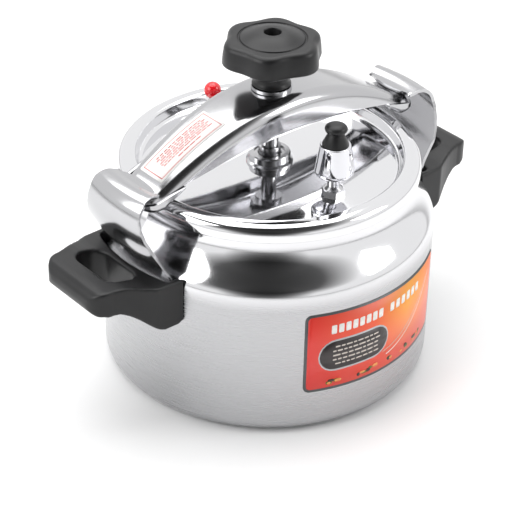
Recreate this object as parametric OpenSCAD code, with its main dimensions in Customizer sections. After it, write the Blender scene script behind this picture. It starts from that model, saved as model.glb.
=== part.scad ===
// Clamp-beam pressure cooker: an aluminium pot and lid, held shut by an arched steel beam
// whose ends sit under two steel hook straps, tightened by a knob and screw on the lid's centre.
// The origin is the centre of the base, +X runs along the beam and handles, -Y faces the label.

/* [Pot] */
// Outer radius of the belly
belly_r = 100; // [97:1:103]
// Height where the straight belly ends and the shoulder starts
belly_top = 92; // [90:1:94]
// Thickness of the pot's wall
pot_wall = 2.4; // [2:0.2:3]
// Thickness of the pot's base
base_thick = 4; // [3:0.5:5]
// Outer radius of the neck under the lid
neck_r = 85.2; // [85:0.1:85.6]
// Height of the pot's rim
rim_z = 130; // [129.6:0.1:130]

/* [Lid] */
// Outer radius of the lid's skirt
lid_r = 90.2; // [90:0.1:90.8]
// Height of the skirt's lower edge
skirt_z = 125.4; // [125:0.1:126]
// Height of the lid's top ring
ring_z = 135; // [135:0.1:135.4]
// Height of the lid's sunk floor
floor_z = 127.5; // [127.5:0.1:128]
// Thickness of the lid's sheet
lid_wall = 2; // [1.6:0.1:2.2]

/* [Clamp beam] */
// Half the beam's length
beam_end = 103; // [101:0.5:104]
// Height of the crown of the beam's web
crown_z = 176.2; // [176:0.1:176.6]
// Half the beam's width at its middle
beam_half = 21.5; // [21:0.5:22]
// Thickness of the beam's steel
beam_wall = 2; // [1.6:0.1:2.4]
// Height of the flat seat at each end, just under the hook
seat_z = 145.2; // [145:0.1:145.2]
// Radius of the clamp screw
screw_r = 5; // [4.8:0.1:5]

/* [Hook straps] */
// Thickness of the strap's steel
strap_wall = 2; // [1.8:0.1:2]
// Half the strap's width where it leaves the handle
strap_half = 32; // [31:0.5:32.5]
// Half the width of the hook's bend
tongue_half = 22; // [20:0.5:23]

/* [Handles] */
// Distance from the axis to the handle's tip
handle_tip = 147; // [144:1:150]
// Half the width of the block against the belly
block_half = 37; // [36:0.5:38]
// Half the width of the handle near its tip
grip_half = 27; // [26:0.5:28]

/* [Knob] */
// Largest radius over the knob's lobes
knob_r = 30.3; // [29.8:0.1:30.6]
// Number of lobes on the knob
knob_lobes = 6; // [5:1:7]
// Height of the knob's lower edge
knob_z = 193.6; // [193:0.1:194]
// Height of the knob's rim
knob_top = 207.6; // [207.6:0.1:208.4]

/* [Valves] */
// Place of the vent and its weight, across the lid from the beam
vent_at = [3.2, -53]; // [-60:1:60]
// Place of the pressure indicator
indicator_at = [0, 54]; // [-60:1:60]
// Radius of the red indicator ball
ball_r = 5.2; // [5:0.1:5.4]

/* [Hidden] */

$fn = 96;
gap = 0.3;                             // clear space between pieces that move apart
fit = 0.05;                            // running clearance of a round fit, on the radius

steel = "silver";
black = [0.16, 0.16, 0.17];
floor_under = floor_z - lid_wall;      // underside of the lid's sunk floor
ring_in = 80;                          // inner edge of the lid's top ring
arch_drop = 0.00367;                    // fall of the beam's web per square mm from the middle
flange_drop = 0.0017;                  // the same for the lower edge of its flanges
flange_z = 156.7;                      // lower edge of the flanges at the middle
taper = 0.0006;                        // narrowing of the beam's plan per square mm
bush_r = 9;
bush_low = 161;                        // lower end of the threaded bush
bush_flange_z = crown_z + 2;           // top of the washer face that the knob turns over
boss_r = 14;
foot_r = 9;
foot_low = 128.8;
foot_top = 138;
rivet_turns = [-7, 0, 7];              // directions of the rivets from the middle of the strap
rivet_z = 80;
rivet_r = 2.5;
screw_y = 24;
label_mid = -85.5;                     // direction of the belly label's middle
label_half = 32.5;                     // half the angle that it covers
label_low = 28.5;
label_high = 82.5;

// Points on an arc from angle a to angle b, in n steps
function arc(c, r, a, b, n) =
    [for (i = [0:n]) c + r * [cos(a + (b - a) * i / n), sin(a + (b - a) * i / n)]];

// Points on a cubic curve after its first point, in n steps
function curve(p, n) = [for (i = [1:n]) let (t = i / n, s = 1 - t)
    s * s * s * p[0] + 3 * s * s * t * p[1] + 3 * s * t * t * p[2] + t * t * t * p[3]];

// A path moved sideways by d, each point along the average normal of its two neighbours
function shift(p, d) = [for (i = [0:len(p) - 1])
    let (a = p[max(i - 1, 0)], b = p[min(i + 1, len(p) - 1)], u = (b - a) / norm(b - a))
    p[i] + d * [-u[1], u[0]]];

function reversed(p) = [for (i = [len(p) - 1:-1:0]) p[i]];

// Turns a profile in the XZ plane into a slab as wide as 2 * half along Y
module slab(profile, half)
    rotate([90, 0, 0]) linear_extrude(2 * half, center = true) polygon(profile);

module right_side() children();
module left_side() mirror([1, 0, 0]) children();

// ---- pot ----
shoulder_start = [belly_r - 12, belly_top] + 12 * [cos(35), sin(35)];
shoulder = concat([[belly_r, belly_top]], arc([belly_r - 12, belly_top], 12, 7, 35, 4),
    curve([shoulder_start, shoulder_start + 7 * [-sin(35), cos(35)],
        [neck_r + 0.3, rim_z - 18], [neck_r, rim_z - 9]], 8));
pot_outer = concat([[0, 0]], arc([belly_r - 9, 9], 9, -90, 0, 6), shoulder);
pot_inner = concat([[0, base_thick]],
    arc([belly_r - 10, base_thick + 7.6], 7.6, -90, 0, 6),
    shift([for (p = shoulder) p], pot_wall));

module pot_body() color("gainsboro") difference() {
    rotate_extrude() polygon(concat(pot_outer,
        [[neck_r, rim_z - 2], [neck_r + 2.1, rim_z - 2], [neck_r + 2.1, rim_z - 0.6],
            [neck_r + 1.5, rim_z], [neck_r - pot_wall, rim_z]],
        reversed(pot_inner)));
    right_side() rivet_holes();
    left_side() rivet_holes();
}

// Holes for the three rivets of the strap on the right
module rivet_holes() for (a = rivet_turns) rotate([0, 0, a])
    translate([belly_r - 10, 0, rivet_z]) rotate([0, 90, 0]) cylinder(20, rivet_r, rivet_r);

module belly_label() color("tomato")
    rotate([0, 0, label_mid - label_half]) rotate_extrude(angle = 2 * label_half, $fn = 180)
        translate([belly_r + 0.02, label_low]) square([0.25, label_high - label_low]);

// ---- hook straps: sheet rolled to the belly's curve, flared past the shoulder and hooked over ----
strap_low = 73;
strap_line_r = belly_r + gap + strap_wall / 2;
tongue_z = seat_z + gap + strap_wall / 2;
tongue_tip = 93.8;                     // where the tip's middle is
// Middle line of the sheet, as radius and height
strap_line = concat([[strap_line_r, strap_low], [strap_line_r, 92]],
    curve([[strap_line_r, 92], [strap_line_r, 99.5], [107.5, 108.5], [111.6, 116]], 6),
    curve([[111.6, 116], [114.2, 120.8], [116, 127.5], [116, 133]], 5),
    curve([[116, 133], [116, 141], [112.5, tongue_z + 1.8], [105, tongue_z + 1.7]], 7),
    curve([[105, tongue_z + 1.7], [102.5, tongue_z + 1.5], [100.5, tongue_z], [98, tongue_z]], 5),
    [[92, tongue_z]]);
// Front outline of the strap, as half-widths up its height
strap_edge = [[strap_half - 1, strap_low], [strap_half, 82], [strap_half, 92], [31.1, 98],
    [30.2, 104], [30.2, 116], [28.6, 122], [26, 128], [24, 134], [tongue_half + 0.4, 140],
    [tongue_half, 150]];
// Plan of the hook, from its bend to the corner of its tip, as half-widths
hook_plan = [[125, tongue_half + 1], [112, tongue_half], [106, tongue_half - 1], [100, tongue_half - 3],
    [97.5, tongue_half - 4.6], [96.4, tongue_half - 6.4]];
hook_from = 141;                       // above this height the plan outline holds
tip_round = 56;

function mirrored(p) = concat(p, reversed([for (q = p) [q[0], -q[1]]]));

// A sheet turned about the pot's axis through the angle on each side of +X
module turned(profile, angle) rotate([0, 0, -angle]) rotate_extrude(angle = 2 * angle, $fn = 240)
    polygon(profile);

module strap() color(steel) difference() {
    intersection() {
        turned(concat(shift(strap_line, -strap_wall / 2), reversed(shift(strap_line, strap_wall / 2))),
            24);
        rotate([90, 0, 90]) linear_extrude(200) polygon(concat(strap_edge,
            reversed([for (p = strap_edge) [-p[0], p[1]]])));
        union() {
            translate([60, -60, strap_low - 1]) cube([80, 120, hook_from - strap_low + 1]);
            translate([0, 0, hook_from]) linear_extrude(20) intersection() {
                polygon(mirrored(concat(hook_plan, [[90, tongue_half - 6.4]])));
                union() {
                    translate([tongue_tip + tip_round, 0]) circle(tip_round, $fn = 240);
                    translate([100, -60]) square([60, 120]);
                }
            }
        }
    }
    rivet_holes();
}
module strap_right() right_side() strap();
module strap_left() left_side() strap();

rivet_in = belly_r - pot_wall - 2;     // inner face of the rivets' heads, inside the pot
bracket_r = belly_r + gap + strap_wall;
bracket_wall = 2;
head_h = 1.6;
module strap_rivets() color(steel) for (a = rivet_turns)
    rotate([0, 0, a]) translate([0, 0, rivet_z]) rotate([0, 90, 0]) {
        translate([0, 0, rivet_in]) cylinder(head_h, rivet_r, rivet_r + 2);
        translate([0, 0, rivet_in + 1]) cylinder(bracket_r + 3 - rivet_in, rivet_r, rivet_r);
        translate([0, 0, bracket_r + bracket_wall]) cylinder(head_h, rivet_r + 2, rivet_r + 1.2);
    }
module strap_rivets_right() right_side() strap_rivets();
module strap_rivets_left() left_side() strap_rivets();

// ---- brackets: riveted over the straps, with two tapped ears for the handle's screws ----
bracket_low = 73.5;
bracket_h = 19;
bracket_angle = 17;
ear_low = 86;
ear_w = 10;
ear_tip = 113;
handle_screw_x = 109;
handle_screw_r = 1.9;

module bracket() color(steel) difference() {
    union() {
        turned([[bracket_r, bracket_low], [bracket_r + bracket_wall, bracket_low],
            [bracket_r + bracket_wall, bracket_low + bracket_h], [bracket_r, bracket_low + bracket_h]],
            bracket_angle);
        for (y = [-screw_y, screw_y]) translate([95, y - ear_w / 2, ear_low])
            cube([ear_tip - 95, ear_w, bracket_wall]);
    }
    translate([0, 0, ear_low - 1]) cylinder(bracket_wall + 2, bracket_r, bracket_r, $fn = 240);
    rivet_holes();
    for (y = [-screw_y, screw_y]) translate([handle_screw_x, y, ear_low - 1])
        cylinder(4, handle_screw_r, handle_screw_r);
}
module bracket_right() right_side() bracket();
module bracket_left() left_side() bracket();

// ---- handles ----
block_low = 70.2;
block_high = 99.5;
grip_low = 87;
grip_high = 103;
handle_side = concat([[93, block_low + 2], [96, block_low], [106, block_low]],
    curve([[106, block_low], [113, block_low + 1], [119, 82], [130, 86.4]], 6), [[138, grip_low]],
    arc([handle_tip - 7, grip_low + 7], 7, -60, 0, 3),
    arc([handle_tip - 8, grip_high - 8], 8, 0, 90, 4),
    [[128, grip_high]], curve([[128, grip_high], [120, grip_high - 0.5], [116, block_high],
        [108, block_high]], 5), [[93, block_high]]);
handle_plan = concat([[90, block_half], [111, block_half - 1]],
    curve([[111, block_half - 1], [118, block_half - 5], [126, grip_half + 2],
        [134, grip_half]], 5), arc([handle_tip - 12, grip_half - 12], 12, 80, 0, 6));
finger_from = 111;                     // the opening for the fingers, along X
finger_to = 131;
finger_half = 19;
finger_round = 8;
slot_r = bracket_r + bracket_wall + 2.3;
slot_half = strap_half + 0.8;

module finger_opening() translate([0, 0, 50]) linear_extrude(70) {
    translate([finger_from, finger_round - finger_half])
        square([finger_to - finger_from, 2 * (finger_half - finger_round)]);
    translate([finger_from + finger_round, -finger_half])
        square([finger_to - finger_from - 2 * finger_round, 2 * finger_half]);
    for (x = [finger_from + finger_round, finger_to - finger_round],
            y = [finger_round - finger_half, finger_half - finger_round])
        translate([x, y]) circle(finger_round);
}

module handle() color(black) difference() {
    intersection() {
        slab(handle_side, block_half + 1);
        linear_extrude(120) polygon(mirrored(handle_plan));
    }
    cylinder(120, belly_r + gap, belly_r + gap, $fn = 240);
    finger_opening();
    // slot for the strap and bracket, open towards the belly and upwards
    intersection() {
        translate([0, 0, strap_low - gap]) cylinder(40, slot_r, slot_r, $fn = 240);
        translate([80, -slot_half, strap_low - gap]) cube([40, 2 * slot_half, 40]);
    }
    for (y = [-screw_y, screw_y]) {
        translate([95, y - ear_w / 2 - gap, ear_low - gap])
            cube([ear_tip + 1.3 - 95, ear_w + 2 * gap, bracket_wall + 2 * gap]);
        translate([handle_screw_x, y, 60]) {
            cylinder(33, handle_screw_r + 0.2, handle_screw_r + 0.2);
            cylinder(15, 3.6, 3.6);
        }
    }
}
module handle_right() right_side() handle();
module handle_left() left_side() handle();

module handle_screws() color(steel) for (y = [-screw_y, screw_y])
    translate([handle_screw_x, y, 0]) difference() {
        union() {
            translate([0, 0, 74]) cylinder(18, handle_screw_r, handle_screw_r);
            translate([0, 0, 73]) cylinder(2, 3.2, 3.2);
        }
        translate([-4, -0.5, 72.5]) cube([8, 1, 1.3]);
    }
module handle_screws_right() right_side() handle_screws();
module handle_screws_left() left_side() handle_screws();

// ---- lid ----
ring_round = 6;
lid_top = concat([[4, floor_z]], arc([75.5, floor_z + 2.5], 2.5, -90, -10, 4),
    arc([ring_in + 1, ring_z - 2], 2, 170, 90, 4),
    arc([lid_r - ring_round, ring_z - ring_round], ring_round, 90, 0, 7), [[lid_r, skirt_z]]);
lid_under = concat([[lid_r - lid_wall, skirt_z]],
    arc([lid_r - ring_round, ring_z - ring_round], ring_round - lid_wall, 0, 90, 6),
    [[ring_in + 1, ring_z - lid_wall]],
    arc([75.5, floor_z + 2.5], 2.5 + lid_wall, -10, -90, 5), [[4, floor_under]]);
thread_r = 4.5;                        // of the vent tube and the indicator's housing

module lid_shell() color("gainsboro") difference() {
    rotate_extrude($fn = 180) polygon(concat(lid_top, lid_under));
    for (at = [vent_at, indicator_at])
        translate([at[0], at[1], floor_z - 10]) cylinder(20, thread_r + fit, thread_r + fit);
}

module lid_gasket() color("whitesmoke") rotate_extrude($fn = 180)
    polygon([[ring_in + 2.4, rim_z + gap], [86.6, rim_z + gap], [86.6, rim_z + 1.4],
        [lid_r - ring_round, ring_z - lid_wall], [ring_in + 2.4, ring_z - lid_wall]]);

boss_wall = 12.5;
boss_top = 134;
clip_low = 131.9;                      // groove for the retaining ring over the foot's flange
clip_high = 132.9;
module lid_boss() color(steel) rotate_extrude()
    polygon([[0, floor_under - 2.2], [6.4, floor_under - 2.2], [7, floor_under - 1.6],
        [7, floor_under], [4, floor_under], [4, floor_z], [boss_r, floor_z],
        [boss_r, floor_z + 1.1], [boss_wall, floor_z + 2], [boss_wall, boss_top - 0.6],
        [boss_wall - 0.6, boss_top], [foot_r + gap, boss_top], [foot_r + gap, clip_high],
        [foot_r + 1.2, clip_high], [foot_r + 1.2, clip_low], [foot_r + gap, clip_low],
        [foot_r + gap, foot_low - gap], [0, foot_low - gap]]);

module foot_retainer() color("gray") difference() {
    translate([0, 0, clip_low]) cylinder(clip_high - clip_low, foot_r + 1.2, foot_r + 1.2);
    translate([0, 0, clip_low - 1]) cylinder(3, foot_neck_r + 0.6, foot_neck_r + 0.6);
    translate([0, -1, clip_low - 1]) cube([20, 2, 3]);
}

// ---- vent, on the lid's floor ----
nut_r = 8.2;
washer_h = 1.2;
nut_h = 4.3;
tube_r = 3.6;
tube_top = 145.5;
bore_r = 1.2;
thread_low = 118;

module at(place) translate([place[0], place[1], 0]) children();

module ring(z, h, outer, inner) translate([0, 0, z]) difference() {
    cylinder(h, outer, outer);
    translate([0, 0, -1]) cylinder(h + 2, inner, inner);
}

module hex_nut(z, h, outer, inner) translate([0, 0, z]) difference() {
    cylinder(h, outer, outer, $fn = 6);
    translate([0, 0, -1]) cylinder(h + 2, inner, inner);
}

module vent_tube() color(steel) at(vent_at) difference() {
    union() {
        translate([0, 0, thread_low]) cylinder(floor_z + 1 - thread_low, thread_r, thread_r);
        translate([0, 0, floor_z]) cylinder(4.3, 7, 7, $fn = 6);
        translate([0, 0, floor_z + 4.3]) cylinder(1.7, 5.5, tube_r);
        translate([0, 0, floor_z + 4]) cylinder(tube_top - floor_z - 4, tube_r, tube_r);
    }
    translate([0, 0, thread_low - 1]) cylinder(30, bore_r, bore_r);
}
module vent_washer() color("whitesmoke") at(vent_at)
    ring(floor_under - washer_h, washer_h, 7.6, thread_r);
module vent_nut() color(steel) at(vent_at)
    hex_nut(floor_under - washer_h - nut_h, nut_h, nut_r, thread_r);
filter_r = 6.4;
filter_low = 112.5;
filter_top = floor_under - washer_h - nut_h - 0.2;
module vent_filter() color(steel) at(vent_at) difference() {
    translate([0, 0, filter_low]) cylinder(filter_top - filter_low, filter_r, filter_r);
    translate([0, 0, filter_low + 0.8]) cylinder(thread_low - filter_low - 0.8, 5.4, 5.4);
    translate([0, 0, thread_low - 1]) cylinder(10, thread_r, thread_r);
    for (a = [0:60:300]) rotate([0, 0, a])
        translate([3, -0.6, filter_low + 1.6]) cube([6, 1.2, 2.6]);
}

// ---- pressure indicator ----
pin_r = 2;
housing_top = 146.3;
housing_low = 119.5;
ball_z = 151.5;
pin_flange_z = 113.4;

module indicator_housing() color("gainsboro") at(indicator_at) difference() {
    union() {
        translate([0, 0, housing_low]) cylinder(floor_z + 1 - housing_low, thread_r, thread_r);
        translate([0, 0, floor_z]) cylinder(4, 7.4, 7.4, $fn = 6);
        translate([0, 0, floor_z + 3.5]) cylinder(housing_top - floor_z - 3.5, 4.5, 4.5);
    }
    translate([0, 0, housing_low - 1]) cylinder(40, pin_r + fit, pin_r + fit);
}
module indicator_washer() color("whitesmoke") at(indicator_at)
    ring(floor_under - washer_h, washer_h, 7.6, thread_r);
module indicator_nut() color(steel) at(indicator_at)
    hex_nut(floor_under - washer_h - 3.4, 3.4, nut_r, thread_r);
module indicator_pin() color(steel) at(indicator_at) {
    translate([0, 0, pin_flange_z]) cylinder(ball_z - pin_flange_z, pin_r, pin_r);
    translate([0, 0, pin_flange_z]) cylinder(1.6, 3.6, 3.6);
}
module indicator_ball() color("red") at(indicator_at) difference() {
    translate([0, 0, ball_z]) sphere(ball_r);
    translate([0, 0, ball_z - ball_r - 1]) cylinder(1.5, 6, 6);
    translate([0, 0, ball_z - ball_r - 1]) cylinder(ball_r + 1, pin_r, pin_r);
}

// ---- regulator weight ----
weight_low = 140.6;
weight_top = 160.4;
weight_r = 11.4;
needle_r = 2;
chamber_r = 5;
weight_hole_r = 1.6;
weight_hole_turn = 24;
cap_r = 7.8;
cap_neck_r = 4.4;
cap_neck_z = weight_top + 7.4;
cap_top = weight_top + 12.8;

module weight_body() color("silver") at(vent_at) difference() {
    rotate_extrude() polygon(concat([[tube_r + 0.4, weight_low], [weight_r - 2.2, weight_low]],
        arc([weight_r - 3, weight_low + 3.4], 3, -60, 5, 4),
        [[weight_r - 2.4, weight_top - 0.6], [weight_r - 2.8, weight_top], [needle_r, weight_top],
            [needle_r, weight_top - 2], [chamber_r, weight_top - 2.6],
            [chamber_r, weight_top - 7], [tube_r + 0.4, weight_top - 8.5]]));
    for (k = [0:3]) rotate([0, 0, weight_hole_turn + 90 * k])
        translate([3, 0, weight_top - 4.5]) rotate([0, 90, 0])
            cylinder(10, weight_hole_r, weight_hole_r);
}
module weight_needle() color(steel) at(vent_at) rotate_extrude()
    polygon([[0, tube_top + gap], [0.5, tube_top + gap], [needle_r, tube_top + 2.6],
        [needle_r, weight_top + 7], [0, weight_top + 7]]);
module weight_cap() color(black) at(vent_at) rotate_extrude()
    polygon(concat([[needle_r, weight_top], [cap_r, weight_top], [cap_r, weight_top + 0.6],
        [cap_neck_r, cap_neck_z]],
        curve([[cap_neck_r, cap_neck_z], [cap_neck_r + 3, cap_neck_z + 1], [cap_neck_r + 3.2, cap_top - 0.4],
            [3, cap_top]], 6),
        [[0, cap_top + 0.2], [0, weight_top + 7], [needle_r, weight_top + 7]]));

// ---- clamp beam ----
function web(x) = max(seat_z, crown_z - arch_drop * x * x);
function flange(x) = flange_z - flange_drop * x * x;
function beam_width(x) = beam_half - taper * x * x;
end_from = beam_end - 7;               // where the round end starts
end_half = beam_width(end_from);
beam_roll = 8;                         // radius of the bend between the web and each flange
seat_from = sqrt((crown_z - seat_z) / arch_drop);  // where the web meets the seat
// Distances from the middle of the beam's cross-sections, with the half width at each, t inside
function stations(t) = let (one = concat([for (i = [1:8]) let (x = i * seat_from / 8) [x, beam_width(x) - t]],
        [for (a = [90, 65, 45, 25, 8]) [end_from + (7 - t) * cos(a), (end_half - t) * sin(a)]]))
    concat([for (i = [len(one) - 1:-1:0]) [-one[i][0], one[i][1]]], [[0, beam_half - t]], one);
// One cross-section: flange, bend, web, bend, flange
function section(x, half, top, low, bend) = let (q = min(bend, 0.8 * half))
    concat([[x, -half, low]], [for (a = [180:-18:90]) [x, -half + q + q * cos(a), top - q + q * sin(a)]],
        [for (a = [90:-18:0]) [x, half - q + q * cos(a), top - q + q * sin(a)]], [[x, half, low]]);

// A solid with the beam's arched and tapered form, reduced by the steel's thickness where t > 0
module beam_form(t) let (s = stations(t), m = len(s), n = 14)
    polyhedron([for (p = s) each section(p[0], p[1], web(p[0]) - t, flange(p[0]) - (t > 0 ? 20 : 0), beam_roll - t)],
        concat([for (i = [0:m - 2], k = [0:n - 1]) let (a = i * n + k, b = i * n + (k + 1) % n) each [[a, b, a + n], [b, b + n, a + n]]],
            [[for (k = [n - 1:-1:0]) k], [for (k = [0:n - 1]) (m - 1) * n + k]]));

module clamp_beam() color(steel) difference() {
    beam_form(0);
    beam_form(beam_wall);
    translate([0, 0, bush_low]) cylinder(30, bush_r, bush_r);
}

module beam_bush() color(steel) difference() {
    union() {
        translate([0, 0, bush_low]) cylinder(crown_z + 1 - bush_low, bush_r, bush_r);
        translate([0, 0, crown_z]) cylinder(bush_flange_z - crown_z, 12, 12);
    }
    translate([0, 0, bush_low - 1]) cylinder(30, screw_r + fit, screw_r + fit);
}
module bush_nut() color("gray") hex_nut(crown_z - beam_wall - 7.2, 6.4, 13.2, bush_r);

label_from = -88;
label_to = -42;
beam_label_half = 10;
module beam_label() color("white") let (xs = [for (i = [0:8]) label_from + (label_to - label_from) * i / 8])
    slab(concat([for (x = xs) [x, web(x) + 0.05]], reversed([for (x = xs) [x, web(x) + 0.3]])),
        beam_label_half);

// ---- clamp screw, its swivel foot and the knob ----
journal_r = 4;
journal_top = 138.3;
journal_low = 131.3;
snap_z = 134;                          // snap ring that keeps the foot on the screw
foot_neck_r = 6.6;
hex_r = 6.35;
hex_low = 195;
hex_top = 202;
knob_screw_r = 2;
knob_screw_low = 191;
knob_low = bush_flange_z + 0.5;

module clamp_screw() color(steel) difference() {
    union() {
        translate([0, 0, journal_low]) cylinder(journal_top - journal_low, journal_r, journal_r);
        translate([0, 0, journal_top]) cylinder(hex_top - journal_top, screw_r, screw_r);
        translate([0, 0, hex_low]) cylinder(hex_top - hex_low, hex_r, hex_r, $fn = 6);
    }
    ring(snap_z, 1, journal_r + 1, journal_r - 0.6);
    translate([0, 0, knob_screw_low]) cylinder(20, knob_screw_r, knob_screw_r);
}
module screw_clip() color("gray") ring(snap_z, 1, journal_r + 0.9, journal_r - 0.6);

module screw_foot() color(steel) difference() {
    union() {
        translate([0, 0, foot_low]) cylinder(2.7, foot_r, foot_r);
        translate([0, 0, foot_low]) cylinder(foot_top - foot_low, foot_neck_r, foot_neck_r);
    }
    translate([0, 0, journal_low - gap]) cylinder(10, journal_r + fit, journal_r + fit);
    translate([0, 0, snap_z - gap]) cylinder(1 + 2 * gap, journal_r + 1.2, journal_r + 1.2);
}

knob_neck_r = 9.7;
lobe_depth = 3;
lobe_turn = -17;                       // direction of one lobe's crest
lobe_outline = [for (a = [0:5:355])
    (knob_r - lobe_depth / 2 * (1 - cos(knob_lobes * (a - lobe_turn)))) * [cos(a), sin(a)]];
groove_r = 19.5;
recess_r = 5;
recess_z = 204;
dome = 3.9;                            // how far the middle rises over the rim

module knob() color(black) difference() {
    intersection() {
        rotate_extrude() polygon(concat([[0, knob_low], [11.5, knob_low], [11.5, knob_low + 0.8],
            [knob_neck_r, knob_low + 3.5], [knob_neck_r, knob_z - 2],
            [12, knob_z]], arc([knob_r - 2, knob_z + 2], 2, -90, -10, 3),
            arc([knob_r - 5, knob_top - 4], 4, 15, 90, 5), [[groove_r + 1, knob_top],
            [groove_r, knob_top - 0.9], [groove_r - 1, knob_top - 0.1]],
            [for (i = [1:4]) [groove_r - 1 - 3.2 * i, knob_top - 0.1 + dome * sin(22 * i)]],
            [[0, knob_top + dome]]));
        translate([0, 0, knob_low - 1]) linear_extrude(40) polygon(lobe_outline);
    }
    translate([0, 0, knob_low - 1]) cylinder(hex_low + 2 - knob_low, screw_r, screw_r);
    translate([0, 0, hex_low]) cylinder(hex_top - hex_low, hex_r, hex_r, $fn = 6);
    translate([0, 0, hex_top - 1]) cylinder(5, knob_screw_r, knob_screw_r);
    translate([0, 0, recess_z]) cylinder(20, recess_r, recess_r);
}
module knob_screw() color(steel) difference() {
    union() {
        translate([0, 0, knob_screw_low + 1])
            cylinder(recess_z - knob_screw_low, knob_screw_r, knob_screw_r);
        translate([0, 0, recess_z]) cylinder(2.8, 4.3, 3.6);
    }
    translate([-0.6, -5, recess_z + 1.8]) cube([1.2, 10, 3]);
    translate([-5, -0.6, recess_z + 1.8]) cube([10, 1.2, 3]);
}

pot_body();
belly_label();
strap_left();
strap_right();
strap_rivets_left();
strap_rivets_right();
bracket_left();
bracket_right();
handle_left();
handle_right();
handle_screws_left();
handle_screws_right();
lid_shell();
lid_gasket();
lid_boss();
foot_retainer();
vent_tube();
vent_washer();
vent_nut();
vent_filter();
indicator_housing();
indicator_washer();
indicator_nut();
indicator_pin();
indicator_ball();
weight_body();
weight_cap();
weight_needle();
clamp_beam();
beam_bush();
bush_nut();
beam_label();
clamp_screw();
screw_clip();
knob();
knob_screw();
screw_foot();
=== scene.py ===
import math
import random

import bpy
from mathutils import Matrix, Vector


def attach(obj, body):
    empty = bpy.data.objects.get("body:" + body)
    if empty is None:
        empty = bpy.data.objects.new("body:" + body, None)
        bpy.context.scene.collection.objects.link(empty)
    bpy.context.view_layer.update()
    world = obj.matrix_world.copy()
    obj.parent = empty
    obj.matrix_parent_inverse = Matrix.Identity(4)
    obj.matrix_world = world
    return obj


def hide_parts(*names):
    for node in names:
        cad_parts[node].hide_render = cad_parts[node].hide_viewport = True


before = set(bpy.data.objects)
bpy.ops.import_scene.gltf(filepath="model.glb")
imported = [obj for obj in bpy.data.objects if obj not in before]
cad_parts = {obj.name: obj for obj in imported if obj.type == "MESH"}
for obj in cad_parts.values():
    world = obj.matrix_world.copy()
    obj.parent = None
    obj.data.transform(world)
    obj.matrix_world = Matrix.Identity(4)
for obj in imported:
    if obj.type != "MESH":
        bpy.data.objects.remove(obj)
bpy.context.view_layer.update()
MM = 0.001


# ---- Camera ----
# A long lens looks down on the pot's label side and left handle.
# It aims at a point a little over a quarter of the way up the pot's axis.
elevation = math.radians(33)
azimuth = math.radians(41)
distance = 1.1188
aim = Vector((0, 0, 0.0564))
roll = math.radians(1.45)
focal_length = 126.04
film_width = 36
sideways = -0.0133
camera = bpy.data.objects.new("camera", bpy.data.cameras.new("camera"))
bpy.context.collection.objects.link(camera)
bpy.context.scene.camera = camera
towards = Vector((-math.cos(elevation) * math.sin(azimuth),
                  -math.cos(elevation) * math.cos(azimuth), math.sin(elevation)))
camera.location = aim + distance * towards
turn = towards.to_track_quat("Z", "Y").to_matrix() @ Matrix.Rotation(roll, 3, "Z")
camera.rotation_euler = turn.to_euler()
camera.data.sensor_width = film_width
camera.data.lens = focal_length
camera.data.shift_x = sideways


# ---- Studio: white tent with a dark opening ----
# Polished metal shows what stands round it. A white tent lights it from all sides, and the dark
# gap above the camera draws the black bands on the front of the lid and shoulder.
def linear(code):
    """An sRGB colour such as "d8d8da" as the linear RGBA that a socket takes."""
    parts = [int(code[i:i + 2], 16) / 255 for i in (0, 2, 4)]
    parts = [c / 12.92 if c <= 0.04045 else ((c + 0.055) / 1.055) ** 2.4 for c in parts]
    return parts + [1.0]


def add(tree, kind, joins=None, **settings):
    """Adds a node to a tree: settings are its properties, joins its input sockets.
    A join is a number or colour for the socket, or an output socket that is linked to it."""
    made = tree.nodes.new(kind)
    for name, value in settings.items():
        setattr(made, name, value)
    for name, value in (joins or {}).items():
        if isinstance(value, bpy.types.NodeSocket):
            tree.links.new(value, made.inputs[name])
        else:
            made.inputs[name].default_value = value
    return made


def ramp(tree, factor, stops):
    """A colour ramp over factor, with stops of (position, colour)."""
    made = add(tree, "ShaderNodeValToRGB", {"Fac": factor})
    scale = made.color_ramp.elements
    while len(scale) < len(stops):
        scale.new(1.0)
    for element, (place, colour) in zip(scale, stops):
        element.position = place
        element.color = colour
    return made.outputs["Color"]


bpy.context.scene.view_settings.view_transform = "Standard"
world = bpy.data.worlds.new("studio")
bpy.context.scene.world = world
world.use_nodes = True
tent = world.node_tree
tent.nodes.clear()
looking = add(tent, "ShaderNodeTexCoord").outputs["Generated"]


def grey(value):
    return (value, value, value, 1.0)


def glow_towards(direction, stops):
    """Brightness of the tent by how near a direction of view is to the given one."""
    near = add(tent, "ShaderNodeVectorMath", {0: looking, 1: Vector(direction).normalized()},
               operation="DOT_PRODUCT").outputs["Value"]
    return ramp(tent, near, stops)


front = Vector((-math.sin(azimuth), -math.cos(azimuth), 0))
gap = glow_towards(front + Vector((0, 0, 1.6)),
                   [(0.0, grey(1.0)), (0.60, grey(1.0)), (0.84, grey(0.10)), (1.0, grey(0.03))])
low = glow_towards(front + Vector((0, 0, 0.25)),
                   [(0.0, grey(1.0)), (0.86, grey(1.0)), (0.97, grey(0.25)), (1.0, grey(0.12))])
both = add(tent, "ShaderNodeMixRGB", {"Fac": 1.0, "Color1": gap, "Color2": low},
           blend_type="MULTIPLY").outputs["Color"]
shine = add(tent, "ShaderNodeBackground", {"Color": both, "Strength": 1.05})
add(tent, "ShaderNodeOutputWorld", {"Surface": shine.outputs["Background"]})


def softbox(name, place, look_at, size, power):
    """A square area light at place, turned to look_at."""
    light = bpy.data.lights.new(name, "AREA")
    light.size = size
    light.energy = power
    lamp = bpy.data.objects.new(name, light)
    lamp.location = place
    lamp.rotation_euler = (Vector(place) - Vector(look_at)).to_track_quat("Z", "Y").to_euler()
    bpy.context.collection.objects.link(lamp)


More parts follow.
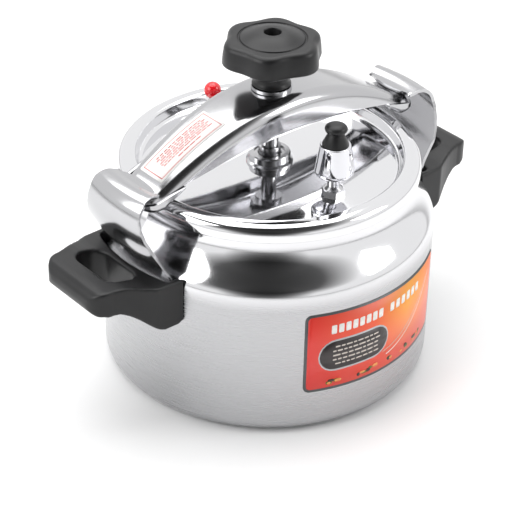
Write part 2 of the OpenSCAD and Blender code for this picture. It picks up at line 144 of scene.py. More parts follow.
softbox("softbox_left", (-0.9, 0.25, 0.7), (0, 0, 0.1), 0.7, 5)
softbox("softbox_right", (0.75, -0.85, 0.8), (0, 0, 0.1), 0.5, 4)
softbox("softbox_top", (0.1, 0.3, 1.2), (0, 0, 0), 1.2, 12)


def mesh_piece(name, points, faces, material, sharp=35):
    """An object from points in millimetres and faces, shaded smooth except at sharp angles."""
    mesh = bpy.data.meshes.new(name)
    mesh.from_pydata([Vector(p) * MM for p in points], [], faces)
    mesh.polygons.foreach_set("use_smooth", [True] * len(faces))
    mesh.set_sharp_from_angle(angle=math.radians(sharp))
    mesh.materials.append(material)
    piece = bpy.data.objects.new(name, mesh)
    bpy.context.collection.objects.link(piece)
    return piece


# The floor is a sheet of matt white card, 12 m wide so that its edge is out of sight.
card = bpy.data.materials.new("matt_white_card")
card.use_nodes = True
card.node_tree.nodes["Principled BSDF"].inputs["Base Color"].default_value = grey(0.93)
card.node_tree.nodes["Principled BSDF"].inputs["Roughness"].default_value = 0.9
floor_half = 6000
floor_corners = [(-1, -1, 0), (1, -1, 0), (1, 1, 0), (-1, 1, 0)]
floor = mesh_piece("floor", floor_corners, [(0, 1, 2, 3)], card)
floor.scale = (floor_half, floor_half, 1)


# ---- Pot ----
# Spun from one aluminium blank: thick base, straight belly, shoulder drawn in to the neck, and a
# small flange at the rim. The belly is left with the lathe's fine lines; the shoulder is buffed.
belly_r = 100
belly_top = 92
neck_r = 85.2
rim_z = 130
pot_wall = 2.4
base_thick = 4
axis = 0.01  # a lathe outline ends this near the axis, so that no face loses a side


def arc(centre, radius, start, end, steps):
    """Points on a round stretch of an outline; angles in degrees."""
    return [(centre[0] + radius * math.cos(math.radians(start + (end - start) * i / steps)),
             centre[1] + radius * math.sin(math.radians(start + (end - start) * i / steps)))
            for i in range(steps + 1)]


def curve(p, steps):
    """Points on a cubic curve after its first point."""
    found = []
    for i in range(1, steps + 1):
        t = i / steps
        s = 1 - t
        found.append(tuple(s ** 3 * a + 3 * s * s * t * b + 3 * s * t * t * c + t ** 3 * d
                           for a, b, c, d in zip(*p)))
    return found


def shifted(path, d):
    """A path moved sideways by d, each point along the average normal of its neighbours."""
    moved = []
    for i, p in enumerate(path):
        a = path[max(i - 1, 0)]
        b = path[min(i + 1, len(path) - 1)]
        length = math.hypot(b[0] - a[0], b[1] - a[1])
        moved.append((p[0] - d * (b[1] - a[1]) / length, p[1] + d * (b[0] - a[0]) / length))
    return moved


def ring_faces(rings, steps, closed=True):
    """Faces between rings of points, and between the last ring and the first one if closed."""
    return [(i * steps + k, i * steps + (k + 1) % steps,
             (i + 1) % rings * steps + (k + 1) % steps, (i + 1) % rings * steps + k)
            for i in range(rings if closed else rings - 1) for k in range(steps)]


def lathe(name, outline, material, place=(0, 0), steps=160, closed=True):
    """Turns an outline of (radius, height) about the vertical line through place."""
    points = []
    for r, z in outline:
        for k in range(steps):
            a = 2 * math.pi * k / steps
            points.append((place[0] + r * math.cos(a), place[1] + r * math.sin(a), z))
    return mesh_piece(name, points, ring_faces(len(outline), steps, closed), material)


def surface(name, hex_code, roughness, metallic=0.0, ior=None):
    """A new material with its colour and finish set, its tree, and its shader."""
    made = bpy.data.materials.new(name)
    made.use_nodes = True
    shader = made.node_tree.nodes["Principled BSDF"]
    shader.inputs["Base Color"].default_value = linear(hex_code)
    shader.inputs["Roughness"].default_value = roughness
    shader.inputs["Metallic"].default_value = metallic
    if ior:
        shader.inputs["IOR"].default_value = ior
    return made, made.node_tree, shader


def scratches(tree, scale, squeeze, height, strength):
    """A bump of fine lines: noise on object coordinates that is squeezed along some axes.
    Returns the noise and the bumped normal."""
    where = add(tree, "ShaderNodeTexCoord").outputs["Object"]
    pulled = add(tree, "ShaderNodeMapping", {"Vector": where, "Scale": squeeze}).outputs["Vector"]
    grain = add(tree, "ShaderNodeTexNoise", {"Vector": pulled, "Scale": scale, "Detail": 3.0}).outputs["Fac"]
    bump = add(tree, "ShaderNodeBump", {"Height": grain, "Strength": strength, "Distance": height})
    return grain, bump.outputs["Normal"]


def polar(tree):
    """Object coordinates as (angle about Z in radians, radius, height), for turned marks."""
    where = add(tree, "ShaderNodeTexCoord").outputs["Object"]
    split = add(tree, "ShaderNodeSeparateXYZ", {"Vector": where})
    angle = add(tree, "ShaderNodeMath", {0: split.outputs["Y"], 1: split.outputs["X"]}, operation="ARCTAN2")
    flat = add(tree, "ShaderNodeVectorMath", {0: where, 1: (1, 1, 0)}, operation="MULTIPLY")
    radius = add(tree, "ShaderNodeVectorMath", {0: flat.outputs["Vector"]}, operation="LENGTH")
    return add(tree, "ShaderNodeCombineXYZ", {"X": angle.outputs["Value"], "Y": radius.outputs["Value"],
                                              "Z": split.outputs["Z"]}).outputs["Vector"]


# Spun aluminium, belly finished with fine abrasive on the lathe: lines run round it, about 0.4 mm
# apart, and blur the reflection up and down. The buffed shoulder is smoother.
spun, tree, shader = surface("spun_aluminium", "dcdcde", 0.26, 1.0)
turned = polar(tree)
marks = add(tree, "ShaderNodeMapping", {"Vector": turned, "Scale": (1.2, 2500, 2500)}).outputs["Vector"]
lines = add(tree, "ShaderNodeTexNoise", {"Vector": marks, "Scale": 1.0, "Detail": 2.0}).outputs["Fac"]
height = add(tree, "ShaderNodeSeparateXYZ", {"Vector": turned}).outputs["Z"]
buffed = add(tree, "ShaderNodeMapRange", {"Value": height, "From Min": 0.089, "From Max": 0.096,
                                          "To Min": 0.27, "To Max": 0.10}).outputs["Result"]
uneven = add(tree, "ShaderNodeMath", {0: lines, 1: 0.10, 2: -0.05},
             operation="MULTIPLY_ADD").outputs["Value"]
rough = add(tree, "ShaderNodeMath", {0: buffed, 1: uneven}, operation="ADD").outputs["Value"]
tree.links.new(rough, shader.inputs["Roughness"])
relief = add(tree, "ShaderNodeBump", {"Height": lines, "Strength": 0.06, "Distance": 0.00005})
tree.links.new(relief.outputs["Normal"], shader.inputs["Normal"])
# Painted shade: below the shoulder the base colour is made darker than on the buffed shoulder. It stands in
# for the dimmer reflection the satin belly gives, and the metal is the same aluminium throughout.
belly_painted_shade = add(tree, "ShaderNodeMapRange", {"Value": height, "From Min": 0.086,
                                          "From Max": 0.097}).outputs["Result"]
metal = ramp(tree, belly_painted_shade, [(0.0, linear("b9b9bb")), (1.0, linear("e0e0e2"))])
tree.links.new(metal, shader.inputs["Base Color"])

shoulder_round = 12
slope = math.radians(35)
foot_r = belly_r - shoulder_round * (1 - math.cos(slope))
foot_z = belly_top + shoulder_round * math.sin(slope)
straight = 7
shoulder = [(belly_r, belly_top)] + arc((belly_r - shoulder_round, belly_top), shoulder_round, 3, 35, 10)
shoulder += curve([(foot_r, foot_z),
                   (foot_r - straight * math.sin(slope), foot_z + straight * math.cos(slope)),
                   (neck_r + 0.3, rim_z - 18), (neck_r, rim_z - 9)], 24)
base_round = 9
inner_round = 7.6
base_flat = 60
middle_z = 40
pot_outline = (
    [(axis, 0), (base_flat, 0)] + arc((belly_r - base_round, base_round), base_round, -90, 0, 14)
    + [(belly_r, middle_z)] + shoulder
    + [(neck_r, rim_z - 2.4)] + arc((neck_r + 1.5, rim_z - 1.6), 0.6, -90, 0, 4)
    + arc((neck_r + 1.1, rim_z - 1), 1, 0, 90, 5)
    + arc((neck_r - pot_wall + 0.8, rim_z - 0.8), 0.8, 90, 180, 4)
    + shifted(shoulder, pot_wall)[::-1] + [(belly_r - pot_wall, middle_z)]
    + arc((belly_r - 10, base_thick + inner_round), inner_round, 0, -90, 12)
    + [(base_flat, base_thick), (axis, base_thick)])
pot = lathe("pot", pot_outline, spun, steps=240, closed=False)
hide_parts("pot_body")
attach(pot, "pot")


# ---- Lid ----
# Pressed from aluminium sheet: a sunk floor, a raised ring that holds the gasket, and a skirt
# turned down outside the pot's rim. It is buffed to a mirror.
floor_z = 127.5
floor_r = 75.5
floor_bend = 2.5
floor_crown = 7
ring_bend = 2
hem = 0.7
ring_in = 80
ring_z = 135
ring_round = 6
lid_r = 90.2
skirt_z = 125.4
lid_wall = 2

mirror, tree, shader = surface("buffed_aluminium", "e4e4e6", 0.07, 1.0)
patch = polar(tree)
sweep = add(tree, "ShaderNodeMapping", {"Vector": patch, "Scale": (3, 900, 900)}).outputs["Vector"]
haze = add(tree, "ShaderNodeTexNoise", {"Vector": sweep, "Scale": 1.0, "Detail": 3.0}).outputs["Fac"]
dull = add(tree, "ShaderNodeMapRange", {"Value": haze, "To Min": 0.04, "To Max": 0.11}).outputs["Result"]
tree.links.new(dull, shader.inputs["Roughness"])
# The floor's shallow pressed crown is relief in the finish only, so the seats in it stay level.
reach = add(tree, "ShaderNodeSeparateXYZ", {"Vector": patch}).outputs["Y"]
square = add(tree, "ShaderNodeMath", {0: reach, 1: reach}, operation="MULTIPLY").outputs["Value"]
crown = add(tree, "ShaderNodeMapRange", {"Value": square, "From Min": 0.0, "From Max": (floor_r * MM) ** 2,
                                         "To Min": floor_crown * MM, "To Max": 0.0}).outputs["Result"]
relief = add(tree, "ShaderNodeBump", {"Height": crown, "Strength": 1.0, "Distance": 1.0})
tree.links.new(relief.outputs["Normal"], shader.inputs["Normal"])

ring_bow = (lid_r - ring_round, ring_z - ring_round)
lid_outline = (
    [(axis, floor_z)] + arc((floor_r, floor_z + floor_bend), floor_bend, -90, -10, 10)
    + arc((ring_in + 1, ring_z - ring_bend), ring_bend, 170, 90, 10) + arc(ring_bow, ring_round, 90, 0, 18)
    + arc((lid_r - hem, skirt_z + hem), hem, 0, -90, 4)
    + arc((lid_r - lid_wall + 0.5, skirt_z + 0.5), 0.5, -90, -180, 4)
    + arc(ring_bow, ring_round - lid_wall, 0, 90, 12) + [(ring_in + 1, ring_z - lid_wall)]
    + arc((floor_r, floor_z + floor_bend), floor_bend + lid_wall, -10, -90, 8) + [(axis, floor_z - lid_wall)])
lid = lathe("lid", lid_outline, mirror, steps=240, closed=False)
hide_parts("lid_shell")
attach(lid, "lid")


# ---- Clamp beam ----
# Pressed from 2 mm steel sheet: an arched web with a flange down each side, narrower towards its
# round ends. Polished along its length, so its reflections are drawn out a little.
crown_z = 176.2
seat_z = 145.2
arch_drop = 0.00367
flange_z = 156.7
flange_drop = 0.0017
beam_half = 21.5
taper = 0.0006
beam_wall = 2
end_from = 96
beam_end = 103
web_round = 8
end_share = 0.1  # of the stations along the beam, those that go round an end


def web(x):
    return max(seat_z, crown_z - arch_drop * x * x)


steel, tree, shader = surface("polished_steel", "bcbcbe", 0.14, 1.0)
grain, relief = scratches(tree, 60, (1, 22, 22), 0.00003, 0.12)
dull = add(tree, "ShaderNodeMapRange", {"Value": grain, "To Min": 0.10, "To Max": 0.20}).outputs["Result"]
tree.links.new(dull, shader.inputs["Roughness"])
tree.links.new(relief, shader.inputs["Normal"])


def beam_station(t):
    """Distance along the beam and half width there: t runs from -1 to 1, its last parts round an end."""
    side = 1 if t > 0 else -1
    t = abs(t)
    if t <= 1 - end_share:
        x = end_from * t / (1 - end_share)
        return side * x, beam_half - taper * x * x
    a = math.pi / 2 * (1 - (t - 1 + end_share) / end_share)
    end_half = beam_half - taper * end_from ** 2
    return side * (end_from + (beam_end - end_from) * math.cos(a)), end_half * max(math.sin(a), 0.02)


def sheet_grid(name, rows, material, thickness, offset, edge):
    """A sheet from rows of points, with round edges. It lies on the points' underside where offset
    is 1, and half on each side of them where it is 0."""
    points = [p for row in rows for p in row]
    wide = len(rows[0])
    faces = [(i * wide + k, i * wide + k + 1, (i + 1) * wide + k + 1, (i + 1) * wide + k)
             for i in range(len(rows) - 1) for k in range(wide - 1)]
    piece = mesh_piece(name, points, faces, material, 40)
    thick = piece.modifiers.new("thickness", "SOLIDIFY")
    thick.thickness = thickness * MM
    thick.offset = offset
    rounded = piece.modifiers.new("round_edges", "BEVEL")
    rounded.width = edge * MM
    rounded.segments = 3
    rounded.limit_method = "ANGLE"
    rounded.angle_limit = math.radians(50)
    return piece


rows = []
stations = 120
for i in range(stations + 1):
    x, half = beam_station(-1 + 2 * i / stations)
    top = web(x)
    bottom = flange_z - flange_drop * x * x
    radius = min(web_round, half * 0.9)
    across = [(-half, bottom + (top - radius - bottom) * k / 8) for k in range(8)]
    across += arc((-half + radius, top - radius), radius, 180, 90, 10)
    across += [(-y, z) for y, z in across[::-1]]
    rows.append([(x, y, z) for y, z in across])
beam = sheet_grid("beam", rows, steel, beam_wall, 1.0, 0.4)
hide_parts("clamp_beam")
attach(beam, "beam")


# ---- Hook straps ----
# Steel sheet rolled to the belly's curve, riveted there, flared past the shoulder and hooked over
# the beam's ends. Polished like the beam.
strap_wall = 2
strap_low = 73
strap_line_r = 101.3
tongue_z = seat_z + 1.3
tongue_half = 22
tongue_narrowing = 0.26
strap_line = ([(strap_line_r, strap_low), (strap_line_r, 79), (strap_line_r, 86), (strap_line_r, 92)]
              + curve([(strap_line_r, 92), (strap_line_r, 99.5), (107.5, 108.5), (111.6, 116)], 12)
              + curve([(111.6, 116), (114.2, 120.8), (116, 127.5), (116, 133)], 8)
              + curve([(116, 133), (116, 141), (112.5, tongue_z + 1.8), (105, tongue_z + 1.7)], 14)
              + curve([(105, tongue_z + 1.7), (102.5, tongue_z + 1.5), (100.5, tongue_z), (98, tongue_z)], 6))
strap_edge = [(73, 31), (82, 32), (92, 32), (98, 31.1), (104, 30.2), (116, 30.2), (122, 28.6),
              (128, 26), (134, 24), (140, 22.4), (150, 22)]
tip_round = 56
tongue_tip = 93.8


def strap_half(z):
    """Half the strap's width at a height, eased between the widths of its front outline."""
    for (z0, h0), (z1, h1) in zip(strap_edge, strap_edge[1:]):
        if z <= z1:
            t = (z - z0) / (z1 - z0)
            return h0 + (h1 - h0) * t * t * (3 - 2 * t) if abs(h1 - h0) > 1 else h0 + (h1 - h0) * t
    return strap_edge[-1][1]


def strap_piece(name, side, node):
    """One strap, on the side of the pot given by the sign of X."""
    rows = []
    across = 24
    for r, z in strap_line:
        half = strap_half(z)
        if z >= 138 and r <= 111:
            half = tongue_half - (112 - r) * tongue_narrowing
        row = []
        for k in range(across + 1):
            y = half * math.sin(math.pi / 2 * (-1 + 2 * k / across))
            row.append((side * math.sqrt(r * r - y * y), side * y, z))
        rows.append(row)
    # The tongue runs from the last row to a tip that is a shallow curve with round corners.
    last = [(abs(p[0]), p[1] * side) for p in rows[-1]]
    for step in (0.35, 0.7, 0.88, 1.0):
        row = []
        for x, y in last:
            narrow = y * (1 - 0.14 * step - 0.10 * step ** 4 * abs(y) / 19)
            corner = 0.9 * (abs(y) / 18.5) ** 10
            tip = tongue_tip + tip_round - math.sqrt(tip_round ** 2 - narrow ** 2) + corner
            row.append((side * (x + (tip - x) * step), side * narrow, tongue_z))
        rows.append(row)
    piece = sheet_grid(name, rows, steel, strap_wall, 0.0, 0.5)
    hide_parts(node)
    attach(piece, "pot")


strap_piece("hook_strap_left", -1, "strap_left")
strap_piece("hook_strap_right", 1, "strap_right")


# ---- Handles ----
# Loop handles moulded in black phenolic, screwed up into the brackets. Moulding gives every edge
# a radius of 1 to 2 mm and a satin skin with a faint orange peel.
phenolic, tree, shader = surface("moulded_phenolic", "1b1b1c", 0.36, ior=1.5)
where = add(tree, "ShaderNodeTexCoord").outputs["Object"]
peel = add(tree, "ShaderNodeTexNoise", {"Vector": where, "Scale": 900.0, "Detail": 2.0}).outputs["Fac"]
cloud = add(tree, "ShaderNodeTexNoise", {"Vector": where, "Scale": 60.0, "Detail": 3.0}).outputs["Fac"]
relief = add(tree, "ShaderNodeBump", {"Height": peel, "Strength": 0.12, "Distance": 0.0001})
tree.links.new(relief.outputs["Normal"], shader.inputs["Normal"])
dull = add(tree, "ShaderNodeMapRange", {"Value": cloud, "To Min": 0.30, "To Max": 0.44}).outputs["Result"]
tree.links.new(dull, shader.inputs["Roughness"])
tint = ramp(tree, cloud, [(0.3, linear("181819")), (0.7, linear("202021"))])
tree.links.new(tint, shader.inputs["Base Color"])
shader.inputs["Specular IOR Level"].default_value = 0.35


def baked(piece):
    """Applies a piece's modifiers, so that its mesh is the finished one."""
    bpy.context.view_layer.update()
    shaped = bpy.data.meshes.new_from_object(piece.evaluated_get(bpy.context.evaluated_depsgraph_get()))
    piece.modifiers.clear()
    piece.data = shaped
    return piece


def moulded(name, node, material, voxel, passes):
    """A copy of a CAD node with its edges rounded as a mould rounds them: voxel is the size in
    millimetres of the cells it is rebuilt from, and passes how often it is smoothed."""
    piece = bpy.data.objects.new(name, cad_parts[node].data.copy())
    bpy.context.collection.objects.link(piece)
    remesh = piece.modifiers.new("remesh", "REMESH")
    remesh.mode = "VOXEL"
    remesh.voxel_size = voxel * MM
    soften = piece.modifiers.new("soften", "SMOOTH")
    soften.factor = 0.5
    soften.iterations = passes
    baked(piece)
    piece.data.materials.clear()
    piece.data.materials.append(material)
    piece.data.polygons.foreach_set("use_smooth", [True] * len(piece.data.polygons))
    return piece


for side in ("left", "right"):
    handle = moulded("loop_handle_" + side, "handle_" + side, phenolic, voxel=0.8, passes=10)
    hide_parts("handle_" + side)
    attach(handle, "pot")


# ---- Knob ----
# Moulded in the same black phenolic, with a socket for the screw: six shallow lobes for the fingers,
# a domed middle inside a fine groove, and a hole down to the screw that holds it.
knob_r = 30.3
knob_z = 193.6
knob_top = 207.6
knob_low = 178.7
knob_neck_r = 9.7
lobes = 6
lobe_depth = 3
lobe_turn = -17
groove_r = 19.5
recess_r = 5
recess_z = 204
dome = 3.9
socket_r = 5
socket_z = 196
lobes_from = 12  # the lobes grow from this radius to lobes_full
lobes_full = knob_r - 5

outline = ([(socket_r, socket_z), (socket_r, knob_low), (11, knob_low)]
           + arc((11.1, knob_low + 0.4), 0.4, -90, 60, 4)
           + curve([(10.6, knob_low + 1.2), (9.9, knob_low + 2.2), (knob_neck_r, knob_low + 3.4),
                    (knob_neck_r, knob_low + 5)], 5)
           + [(knob_neck_r, knob_z - 2.6)] + arc((knob_neck_r + 2.5, knob_z - 2.5), 2.5, 180, 90, 6)[1:]
           + [(18, knob_z)] + arc((knob_r - 2.2, knob_z + 2.2), 2.2, -90, -8, 8)
           + [(knob_r - 0.5, knob_z + 7)] + arc((knob_r - 5, knob_top - 4), 4, 12, 90, 12)
           + [(groove_r + 1.6, knob_top)] + arc((groove_r, knob_top), 0.9, 0, -180, 6)
           + [(groove_r - 1 - 3.2 * i / 2, knob_top - 0.1 + dome * math.sin(math.radians(11 * i)))
              for i in range(1, 8)]
           + arc((recess_r + 0.8, knob_top + dome - 1.0), 0.8, 80, 180, 5)
           + [(recess_r, recess_z + 0.3), (recess_r - 0.3, recess_z), (axis, recess_z), (axis, socket_z)])
steps = 216
points = []
for r, z in outline:
    share = max(0.0, min(1.0, (r - lobes_from) / (lobes_full - lobes_from)))
    share = share * share * (3 - 2 * share)
    if z > knob_top - 1.5 and r < groove_r + 2:
        share = 0
    for k in range(steps):
        a = 2 * math.pi * k / steps
        wave = 1 - math.cos(lobes * (a - math.radians(lobe_turn)))
        radius = r - share * lobe_depth / 2 * wave
        points.append((radius * math.cos(a), radius * math.sin(a), z))
knob = mesh_piece("knob_lobed", points, ring_faces(len(outline), steps), phenolic, 50)
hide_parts("knob")
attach(knob, "screw")


# ---- Regulator weight ----
# Turned brass with four steam holes, chrome plated, and a moulded black cap to lift it by.
vent_at = (3.2, -53)
weight_low = 140.6
weight_top = 160.4
weight_r = 11.4
tube_bore_r = 4
chamber_r = 5
needle_r = 2
steam_hole_r = 1.6
steam_hole_turn = 24
steam_hole_z = weight_top - 4.5
cap_top = weight_top + 12.8
cap_foot_r = 7.5
cap_core_z = weight_top + 7
waist_r = 4.4
waist_z = weight_top + 7.4

chrome, tree, shader = surface("chrome_plate", "dedee2", 0.05, 1.0)
where = add(tree, "ShaderNodeTexCoord").outputs["Object"]
cloud = add(tree, "ShaderNodeTexNoise", {"Vector": where, "Scale": 140.0, "Detail": 3.0}).outputs["Fac"]
dull = add(tree, "ShaderNodeMapRange", {"Value": cloud, "To Min": 0.03, "To Max": 0.08}).outputs["Result"]
tree.links.new(dull, shader.inputs["Roughness"])

weight_outline = ([(tube_bore_r, weight_low), (weight_r - 2.6, weight_low)]
                  + arc((weight_r - 3, weight_low + 3.2), 3, -75, 5, 10)
                  + [(weight_r - 2.4, weight_top - 0.9)]
                  + arc((weight_r - 3, weight_top - 0.6), 0.6, 5, 90, 4)
                  + [(needle_r, weight_top), (needle_r, weight_top - 2), (chamber_r, weight_top - 2.6),
                     (chamber_r, weight_top - 7), (tube_bore_r, weight_top - 8.5)])
weight = lathe("regulator_weight", weight_outline, chrome, vent_at, steps=120)
for k in range(2):
    rod = lathe("drill", [(axis, -14), (steam_hole_r, -14), (steam_hole_r, 14), (axis, 14)], chrome, steps=24)
    rod.rotation_euler = (0, math.pi / 2, math.radians(steam_hole_turn + 90 * k))
    rod.location = Vector((vent_at[0], vent_at[1], steam_hole_z)) * MM
    drill = weight.modifiers.new("hole", "BOOLEAN")
    drill.object = rod
    drill.operation = "DIFFERENCE"
    drill.solver = "EXACT"
    baked(weight)
    bpy.data.objects.remove(rod)
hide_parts("weight_body")
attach(weight, "weight")

cap_outline = ([(needle_r, weight_top + 0.02), (cap_foot_r, weight_top + 0.02)]
               + arc((cap_foot_r, weight_top + 0.32), 0.3, -90, 20, 3) + [(waist_r, waist_z)]
               + curve([(waist_r, waist_z), (7.4, waist_z + 1), (7.6, cap_top - 0.4), (3, cap_top)], 14)
               + [(axis, cap_top + 0.2), (axis, cap_core_z), (needle_r, cap_core_z)])
cap = lathe("weight_cap_moulded", cap_outline, phenolic, vent_at, steps=96)
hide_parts("weight_cap")
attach(cap, "weight")


# ---- Indicator ball ----
# Red moulded ball pressed on the indicator's pin; glossy, so it takes a hard highlight.
indicator_at = (0, 54)
ball_z = 151.5
ball_r = 5.2
pin_r = 2
pin_top = ball_z - 0.2
red, tree, shader = surface("red_moulded_plastic", "e0161f", 0.16, ior=1.5)
shader.inputs["Coat Weight"].default_value = 0.4
shader.inputs["Subsurface Weight"].default_value = 0.08
shader.inputs["Subsurface Radius"].default_value = (0.004, 0.001, 0.001)
where = add(tree, "ShaderNodeTexCoord").outputs["Object"]
cloud = add(tree, "ShaderNodeTexNoise", {"Vector": where, "Scale": 300.0}).outputs["Fac"]
tint = ramp(tree, cloud, [(0.2, linear("d8121c")), (0.8, linear("e62029"))])
tree.links.new(tint, shader.inputs["Base Color"])
ball_outline = ([(pin_r, pin_top), (pin_r, ball_z - 4.7)] + arc((0, ball_z), ball_r, -65, 89.9, 30)
                + [(axis, pin_top)])
ball = lathe("ball_red", ball_outline, red, indicator_at, steps=64)
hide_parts("indicator_ball")
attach(ball, "indicator")


# ---- Belly label ----
# Printed vinyl film stuck on the belly: a dark rounded border, a red to orange field, greeked
# title and text, a capsule panel and small garnish shapes. No lettering is drawn.
label_mid = math.radians(-85.5)
label_reach = math.radians(32.5)
label_r = 100.27
label_w = 2 * label_reach * belly_r
label_low = 28.5
label_h = 54
film_skin = 0.22
# Each ink is lifted a little above what it is printed over, so that no two faces share a plane.
field_lift = 0.05
rim_lift = 0.09
title_lift = 0.10
panel_lift = 0.13
text_lift = 0.17


def printed(name, hex_code, roughness=0.34):
    """Printed ink: a flat colour with the faint unevenness of a four-colour print."""
    made, tree, shader = surface(name, hex_code, roughness, ior=1.5)
    where = add(tree, "ShaderNodeTexCoord").outputs["Object"]
    dots = add(tree, "ShaderNodeTexNoise", {"Vector": where, "Scale": 700.0, "Detail": 1.0}).outputs["Fac"]
    base = linear(hex_code)
    darker = [c * 0.9 for c in base[:3]] + [1.0]
    tree.links.new(ramp(tree, dots, [(0.3, darker), (0.7, base)]), shader.inputs["Base Color"])
    return made


def on_belly(u, v, lift):
    """A point of the belly label: u runs to the right from its left edge, v up from its foot."""
    a = label_mid + (u - label_w / 2) / belly_r
    r = label_r + lift
    return (r * math.cos(a), r * math.sin(a), label_low + v)


def film(name, place, box, corner, lift, material, bend=lambda u: 0, owner="pot", skin=0.04):
    """A thin printed shape with round corners: box is (left, foot, right, top) on the label that
    place draws on, bend raises the shape along its length, and owner is the body it moves with."""
    u0, v0, u1, v1 = box
    columns = max(4, min(60, int((u1 - u0) / 1.5)))
    stops = [u0 + (u1 - u0) * i / columns for i in range(columns + 1)]
    if corner > 0:
        ease = [corner * (1 - math.cos(math.radians(a))) for a in (0, 18, 36, 54, 72, 90)]
        stops = sorted(set([u0 + e for e in ease] + [u1 - e for e in ease]
                           + [s for s in stops if u0 + corner < s < u1 - corner]))
    points = []
    for u in stops:
        inset = corner - min(corner, u - u0, u1 - u)
        drop = corner - math.sqrt(max(corner ** 2 - inset ** 2, 0)) if corner > 0 else 0
        low, high = v0 + drop + bend(u), v1 - drop + bend(u)
        if high - low < 0.02:
            high = low + 0.02
        for k in range(3):
            points.append(place(u, low + (high - low) * k / 2, lift))
    faces = [(3 * i + k, 3 * i + 3 + k, 3 * i + 4 + k, 3 * i + 1 + k)
             for i in range(len(stops) - 1) for k in (0, 1)]
    piece = mesh_piece(name, points, faces, material)
    thick = piece.modifiers.new("thickness", "SOLIDIFY")
    thick.thickness = skin * MM
    thick.offset = -1.0
    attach(piece, owner)
    return piece


def joined(name, pieces):
    """Joins several films that share one ink into one piece."""
    with bpy.context.temp_override(active_object=pieces[0], selected_editable_objects=pieces):
        bpy.ops.object.join()
    pieces[0].name = name
    return pieces[0]


border_ink = printed("dark_grey_ink", "55595a")
border = film("belly_label_film", on_belly, (0, 0, label_w, label_h), 4, 0.0, border_ink, skin=film_skin)
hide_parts("belly_label")

# The field is a blend of inks, red on the left through orange to salmon on the right.
field_ink, tree, shader = surface("blended_red_orange_ink", "e8443a", 0.34, ior=1.5)
turned = polar(tree)
angle = add(tree, "ShaderNodeSeparateXYZ", {"Vector": turned}).outputs["X"]
across = add(tree, "ShaderNodeMapRange", {"Value": angle, "From Min": label_mid - label_reach,
                                          "From Max": label_mid + label_reach}).outputs["Result"]
up = add(tree, "ShaderNodeSeparateXYZ", {"Vector": turned}).outputs["Z"]
rise = add(tree, "ShaderNodeMapRange", {"Value": up, "From Min": label_low * MM,
                                        "From Max": (label_low + label_h) * MM}).outputs["Result"]
bands = ramp(tree, across, [(0.0, linear("e23a35")), (0.40, linear("f0603a")), (0.66, linear("f7a63a")),
                            (0.84, linear("fb9a56")), (1.0, linear("f7806a"))])
lower = ramp(tree, across, [(0.0, linear("e23a35")), (0.5, linear("f4553f")), (1.0, linear("f2705c"))])
blend = ramp(tree, rise, [(0.15, grey(0.0)), (0.7, grey(1.0))])
inks = add(tree, "ShaderNodeMixRGB", {"Fac": blend, "Color1": lower, "Color2": bands}).outputs["Color"]
tree.links.new(inks, shader.inputs["Base Color"])
film("belly_label_field", on_belly, (1.8, 1.8, label_w - 1.2, label_h - 1.6), 2.5, field_lift, field_ink)

white_ink = printed("white_ink", "f6f3ee")
silver_ink = printed("silver_ink", "c9ccce", 0.25)
panel_ink = printed("panel_black_ink", "3a3434")
cream_ink = printed("cream_ink", "d9cfc6")
green_ink = printed("leaf_green_ink", "5d7a2c")
brown_ink = printed("brown_ink", "3e2d26")
carrot_ink = printed("carrot_ink", "f09a52")


def title_rise(u):
    return 0.02 * u


block_w = 3.3
title_low = 38.5
title_high = 44.5
blocks = [16 + 4.6 * i for i in range(8)] + [57.5 + 5.2 * i for i in range(6)]
joined("belly_label_title", [film("bar", on_belly, (u, title_low, u + block_w, title_high), 0.7,
                                  title_lift, white_ink, title_rise) for u in blocks])
film("belly_label_rim", on_belly, (8.5, 12.6, 57.0, 34.6), 10.9, rim_lift, silver_ink)
film("belly_label_panel", on_belly, (9.3, 13.8, 56.2, 33.4), 9.7, panel_lift, panel_ink)
random.seed(7)
text_rows = 5
text_end = 50
dashes = []
for row in range(text_rows):
    u = 19 if row in (0, text_rows - 1) else 17.5
    v = 29.0 - 3.0 * row
    while u < text_end - 1:
        long = random.uniform(2.0, 5.0)
        box = (u, v, min(u + long, text_end), v + 1.0)
        dashes.append(film("dash", on_belly, box, 0.4, text_lift, cream_ink))
        u += long + 0.8
joined("belly_label_text", dashes)


def swoosh(u):
    return 0.011 * (u - 48) ** 2


joined("belly_label_swoosh", [
    film("line", on_belly, (56, 9.2, 104, 9.9), 0.3, title_lift, white_ink, swoosh),
    film("line", on_belly, (53, 13.0, 100, 13.5), 0.2, title_lift, cream_ink, swoosh)])
garnish = {"belly_label_leaves": green_ink, "belly_label_caps": brown_ink, "belly_label_roots": carrot_ink}
for layer, (name, ink) in enumerate(garnish.items()):
    spots = []
    for cluster in (14, 20, 36, 43, 60, 72, 84, 92):
        u = cluster + random.uniform(-3, 3)
        v = random.uniform(2.6, 5.0) + 0.02 * u
        wide = random.uniform(2.2, 4.4)
        tall = random.uniform(1.4, 2.6)
        spots.append(film("spot", on_belly, (u, v, u + wide, v + tall), min(wide, tall) / 2,
                          title_lift + 0.04 * layer, ink))
    joined(name, spots)


# ---- Beam label ----
# White printed vinyl along the beam's left arm, with a thin red frame and rows of greeked text.
beam_label_from = -88
beam_label_w = 46
beam_label_half = 10
beam_label_top = 0.3  # height of the film's face over the web


def on_beam(u, v, lift):
    """A point of the beam label: u runs along the beam's X, v across it."""
    x = beam_label_from + u
    fall = 2 * arch_drop * x
    length = math.hypot(1, fall)
    return (x + lift * fall / length, v, web(x) + beam_label_top + lift / length)


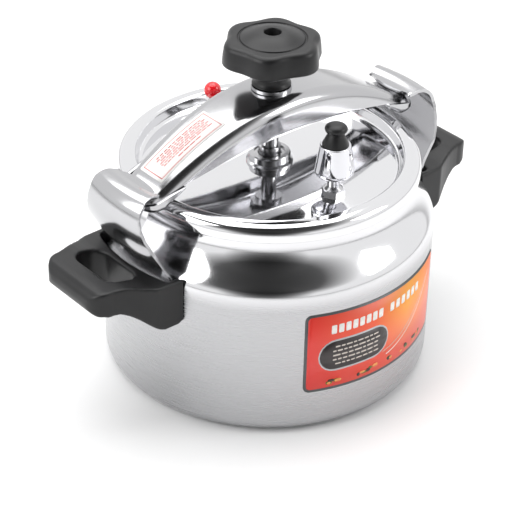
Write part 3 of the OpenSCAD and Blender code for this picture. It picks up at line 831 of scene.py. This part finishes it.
white_film = printed("white_vinyl", "f7f5f3", 0.4)
red_ink = printed("red_ink", "c4302c")
paper = film("beam_label_film", on_beam, (0, -beam_label_half, beam_label_w, beam_label_half), 0.8, 0.0,
             white_film, owner="beam", skin=film_skin)
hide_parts("beam_label")
frame_lines = [(1.6, -8.4, 44.4, -8.0), (1.6, 8.0, 44.4, 8.4), (1.6, -8.4, 2.0, 8.4), (44.0, -8.4, 44.4, 8.4)]
joined("beam_label_frame", [film("line", on_beam, box, 0, field_lift, red_ink, owner="beam")
                            for box in frame_lines])
last_row = 6
dashes = []
for row in range(last_row + 1):
    u = 7.0 + random.uniform(0, 2)
    v = 5.0 - 1.6 * row
    row_end = 40
    if row == last_row:
        v -= 0.8
        u = 16
        row_end = 32
    while u < row_end:
        long = random.uniform(1.5, 4.0)
        box = (u, v, u + long, v + 0.8)
        dashes.append(film("dash", on_beam, box, 0, field_lift, red_ink, owner="beam"))
        u += long + 0.7
joined("beam_label_text", dashes)


# ---- Machined and bought-in steel parts ----
# Turned and hexagonal parts, rivets, screws and brackets: bright zinc-plated or plain steel with
# fine tool marks. Seals are off-white silicone.
zinc, tree, shader = surface("bright_turned_steel", "c4c4c6", 0.2, 1.0)
grain, relief = scratches(tree, 400, (1, 1, 6), 0.00002, 0.15)
dull = add(tree, "ShaderNodeMapRange", {"Value": grain, "To Min": 0.14, "To Max": 0.28}).outputs["Result"]
tree.links.new(dull, shader.inputs["Roughness"])
tree.links.new(relief, shader.inputs["Normal"])
silicone, tree, shader = surface("silicone_rubber", "dcdad4", 0.6, ior=1.41)
shader.inputs["Subsurface Weight"].default_value = 0.1
relief = scratches(tree, 300, (1, 1, 1), 0.00002, 0.2)[1]
tree.links.new(relief, shader.inputs["Normal"])
finishes = {zinc: ["strap_rivets_left", "strap_rivets_right", "bracket_left", "bracket_right",
                   "handle_screws_left", "handle_screws_right", "lid_boss", "foot_retainer", "vent_tube",
                   "vent_nut", "vent_filter", "indicator_nut", "indicator_pin", "weight_needle",
                   "beam_bush", "bush_nut", "clamp_screw", "screw_clip", "knob_screw", "screw_foot"],
            mirror: ["indicator_housing"],
            silicone: ["lid_gasket", "vent_washer", "indicator_washer"]}
for material, names in finishes.items():
    for name in names:
        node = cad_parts[name]
        node.data.materials.clear()
        node.data.materials.append(material)
